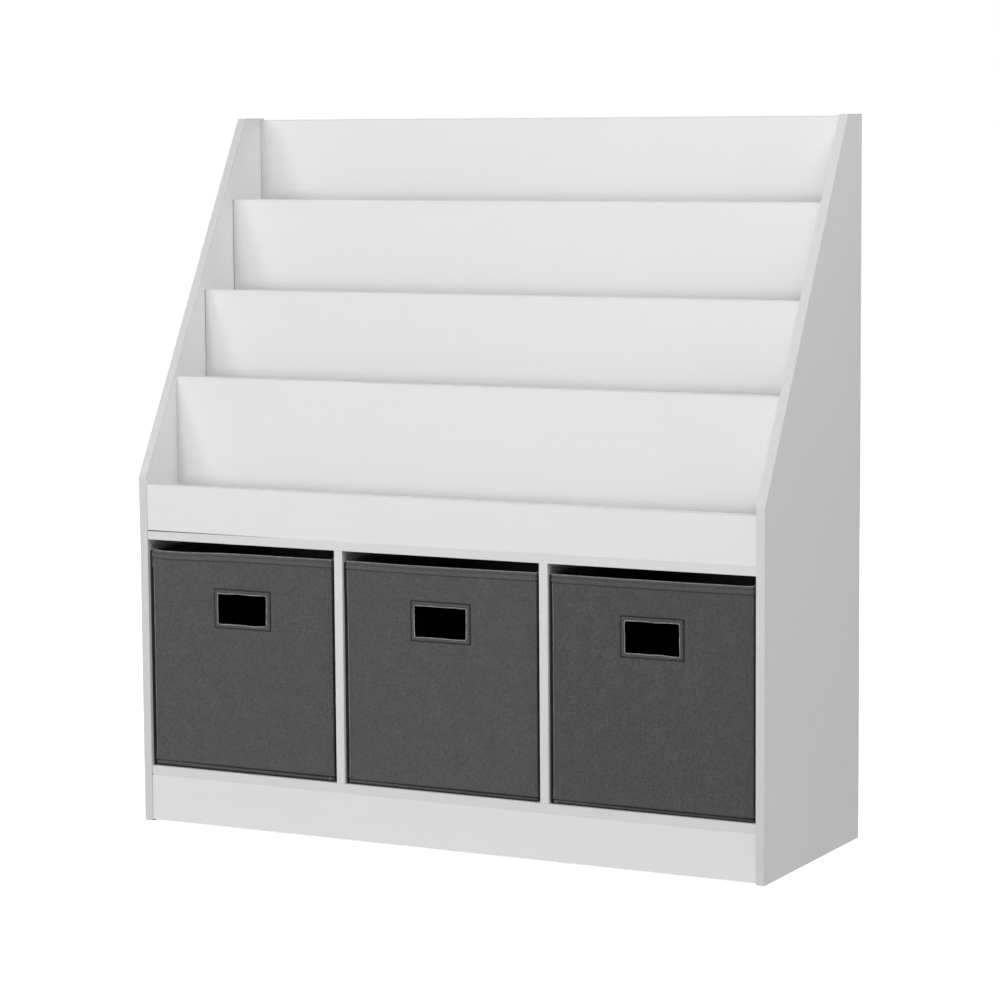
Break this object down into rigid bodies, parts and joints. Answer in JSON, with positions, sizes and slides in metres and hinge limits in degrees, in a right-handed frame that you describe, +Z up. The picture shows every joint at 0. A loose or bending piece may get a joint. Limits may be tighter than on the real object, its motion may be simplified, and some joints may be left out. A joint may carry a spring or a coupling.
{
  "type": "toy storage rack",
  "caption": "White children's storage rack with stepped face-out book tiers above open bays that hold pull-out fabric-covered boxes with handle slots",
  "frame": {"origin": "on the floor, below the middle of the rack's bounding box", "axes": "+Z up, +X to the right seen from the front, +Y to the back, so the boxes pull out along -Y"},
  "size_m": [0.9, 0.31, 0.934],
  "materials": {
    "white_laminate": "white melamine-faced board, satin",
    "white_edge_band": "white edge band, satin",
    "white_hardboard": "white painted thin hardboard, matte",
    "zinc_steel": "zinc-plated steel",
    "zinc_alloy": "die-cast zinc, dull",
    "beech": "bare beech",
    "grey_fabric": "dark grey woven-look non-woven fabric, stitched",
    "lining_fabric": "dark grey plain lining",
    "insert_fabric": "dark grey fabric over board",
    "greyboard": "bare greyboard"
  },
  "bodies": {
    "rack": {"side_panel_left": "white_laminate", "side_panel_right": "white_laminate", "cabinet_bottom": "white_laminate", "cabinet_top": "white_laminate", "plinth_board": "white_laminate", "divider_left": "white_laminate", "divider_right": "white_laminate", "front_lip": "white_laminate", "back_board": "white_laminate", "tier_board_lower": "white_laminate", "tier_board_middle": "white_laminate", "tier_board_upper": "white_laminate", "tier_shelf_lower": "white_laminate", "tier_shelf_middle": "white_laminate", "tier_shelf_upper": "white_laminate", "side_band_left": "white_edge_band", "side_band_right": "white_edge_band", "cabinet_bands": "white_edge_band", "tier_bands": "white_edge_band", "rear_panel": "white_hardboard", "cam_bolts": "zinc_steel", "divider_screws": "zinc_steel", "back_screws": "zinc_steel", "rear_panel_nails": "zinc_steel", "cam_discs": "zinc_alloy", "end_dowels": "beech", "tier_dowels": "beech"},
    "box_1": {"box_1_cover": "grey_fabric", "box_1_lining": "lining_fabric", "box_1_front_stiffener": "greyboard", "box_1_rear_stiffener": "greyboard", "box_1_side_stiffeners": "greyboard", "box_1_rim_binding": "grey_fabric", "box_1_handle_binding": "grey_fabric"},
    "box_1_insert": {"box_1_base_insert": "insert_fabric"},
    "box_2": {"box_2_cover": "grey_fabric", "box_2_lining": "lining_fabric", "box_2_front_stiffener": "greyboard", "box_2_rear_stiffener": "greyboard", "box_2_side_stiffeners": "greyboard", "box_2_rim_binding": "grey_fabric", "box_2_handle_binding": "grey_fabric"},
    "box_2_insert": {"box_2_base_insert": "insert_fabric"},
    "box_3": {"box_3_cover": "grey_fabric", "box_3_lining": "lining_fabric", "box_3_front_stiffener": "greyboard", "box_3_rear_stiffener": "greyboard", "box_3_side_stiffeners": "greyboard", "box_3_rim_binding": "grey_fabric", "box_3_handle_binding": "grey_fabric"},
    "box_3_insert": {"box_3_base_insert": "insert_fabric"}
  },
  "joints": [
    {"name": "box_1_pull", "type": "slide", "parent": "rack", "child": "box_1", "axis": [0, -1, 0], "range_m": [0, 0.3]},
    {"name": "box_1_insert_lift", "type": "slide", "parent": "box_1", "child": "box_1_insert", "axis": [0, 0, 1], "range_m": [0, 0.28]},
    {"name": "box_2_pull", "type": "slide", "parent": "rack", "child": "box_2", "axis": [0, -1, 0], "range_m": [0, 0.3]},
    {"name": "box_2_insert_lift", "type": "slide", "parent": "box_2", "child": "box_2_insert", "axis": [0, 0, 1], "range_m": [0, 0.28]},
    {"name": "box_3_pull", "type": "slide", "parent": "rack", "child": "box_3", "axis": [0, -1, 0], "range_m": [0, 0.3]},
    {"name": "box_3_insert_lift", "type": "slide", "parent": "box_3", "child": "box_3_insert", "axis": [0, 0, 1], "range_m": [0, 0.28]}
  ]
}
